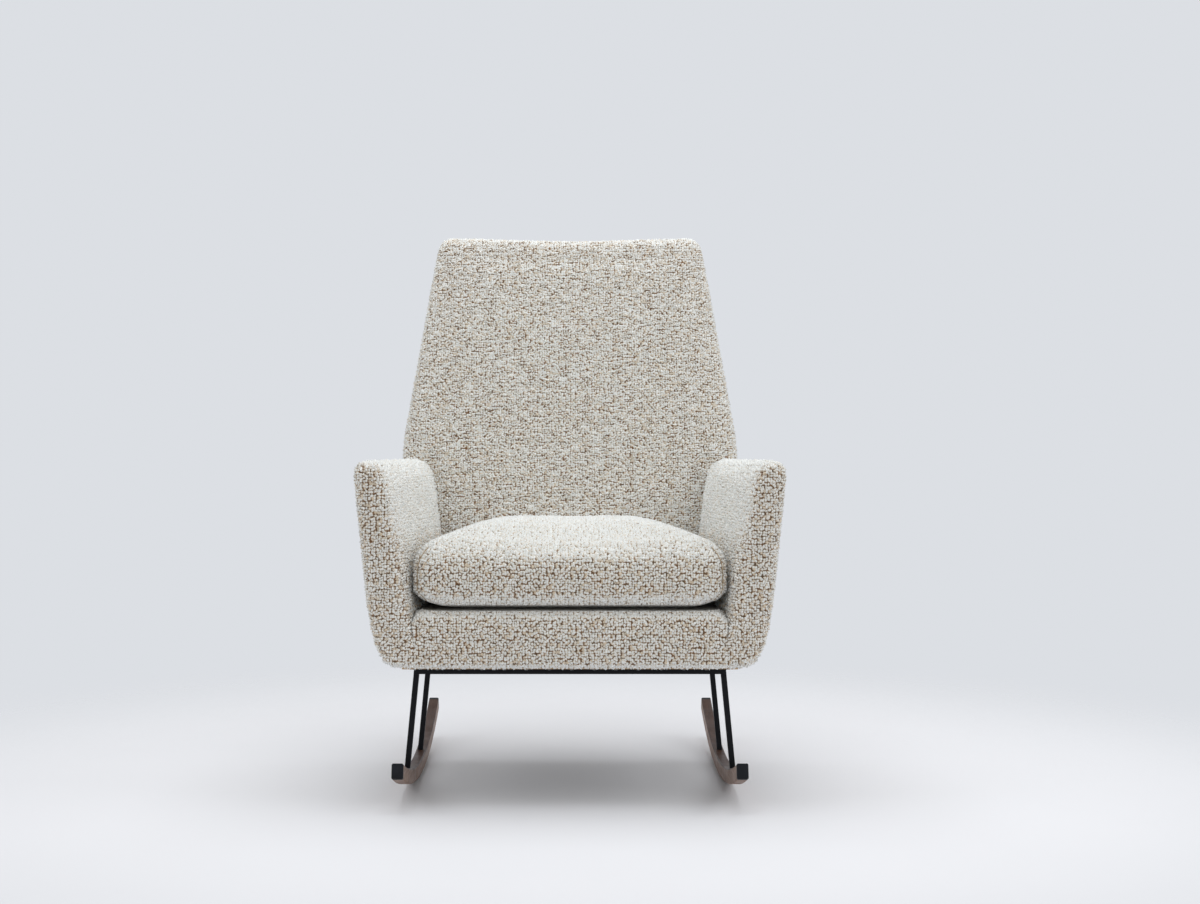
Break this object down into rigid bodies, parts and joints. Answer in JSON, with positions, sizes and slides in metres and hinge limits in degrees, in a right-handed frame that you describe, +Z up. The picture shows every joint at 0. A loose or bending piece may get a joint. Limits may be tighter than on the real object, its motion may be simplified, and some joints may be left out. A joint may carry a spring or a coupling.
{
  "type": "upholstered rocking chair",
  "caption": "Upholstered rocking chair: tapered padded back, flared full-height arms, loose crowned seat cushion, slim steel bar base on curved wooden rockers.",
  "frame": {"origin": "on the floor under the middle of the bounding box, midway between the two rockers' floor contacts", "axes": "+Z up, the chair faces -Y, +X is on the right seen from the front"},
  "size_m": [0.7464, 0.7794, 1.068],
  "materials": {
    "boucle": "chunky looped boucle, cream with taupe gaps",
    "rocker_wood": "taupe-brown stained hardwood, satin",
    "black_steel": "matt black powder coat",
    "cap_plastic": "matt black moulded end cap",
    "zinc_steel": "bright zinc plate",
    "spring_steel": "oiled drawn spring wire",
    "frame_timber": "bare sawn hardwood and plywood",
    "deck_wadding": "decking cloth over wadding",
    "lining_cloth": "black non-woven lining",
    "webbing": "elastic upholstery webbing"
  },
  "bodies": {
    "chair": {"back_bottom_rail": "frame_timber", "back_left_bolt": "zinc_steel", "back_left_stile": "frame_timber", "back_lumbar_rail": "frame_timber", "back_right_bolt": "zinc_steel", "back_right_stile": "frame_timber", "back_top_rail": "frame_timber", "back_webbing": "webbing", "base_front_rail": "black_steel", "base_left_rail": "black_steel", "base_rear_rail": "black_steel", "base_right_rail": "black_steel", "deck_pad": "deck_wadding", "dust_cover": "lining_cloth", "front_apron": "boucle", "front_left_base_bolt": "zinc_steel", "front_left_corner_block": "frame_timber", "front_left_leg": "black_steel", "front_left_mount_tab": "black_steel", "front_left_rocker_screw": "zinc_steel", "front_right_base_bolt": "zinc_steel", "front_right_corner_block": "frame_timber", "front_right_leg": "black_steel", "front_right_mount_tab": "black_steel", "front_right_rocker_screw": "zinc_steel", "inside_back": "boucle", "left_arm_board": "frame_timber", "left_arm_front_bolt": "zinc_steel", "left_arm_pad": "boucle", "left_arm_rear_bolt": "zinc_steel", "left_rocker": "rocker_wood", "left_rocker_front_cap": "cap_plastic", "left_rocker_rear_cap": "cap_plastic", "outside_back": "boucle", "rear_left_base_bolt": "zinc_steel", "rear_left_corner_block": "frame_timber", "rear_left_leg": "black_steel", "rear_left_mount_tab": "black_steel", "rear_left_rocker_screw": "zinc_steel", "rear_right_base_bolt": "zinc_steel", "rear_right_corner_block": "frame_timber", "rear_right_leg": "black_steel", "rear_right_mount_tab": "black_steel", "rear_right_rocker_screw": "zinc_steel", "right_arm_board": "frame_timber", "right_arm_front_bolt": "zinc_steel", "right_arm_pad": "boucle", "right_arm_rear_bolt": "zinc_steel", "right_rocker": "rocker_wood", "right_rocker_front_cap": "cap_plastic", "right_rocker_rear_cap": "cap_plastic", "seat_front_rail": "frame_timber", "seat_left_rail": "frame_timber", "seat_rear_rail": "frame_timber", "seat_right_rail": "frame_timber", "seat_spring_1": "spring_steel", "seat_spring_2": "spring_steel", "seat_spring_3": "spring_steel", "seat_spring_4": "spring_steel"},
    "cushion": {"seat_cushion": "boucle"}
  },
  "joints": [
    {"name": "cushion_lift", "type": "slide", "parent": "chair", "child": "cushion", "axis": [0, 0, 1], "range_m": [0, 0.3]}
  ]
}
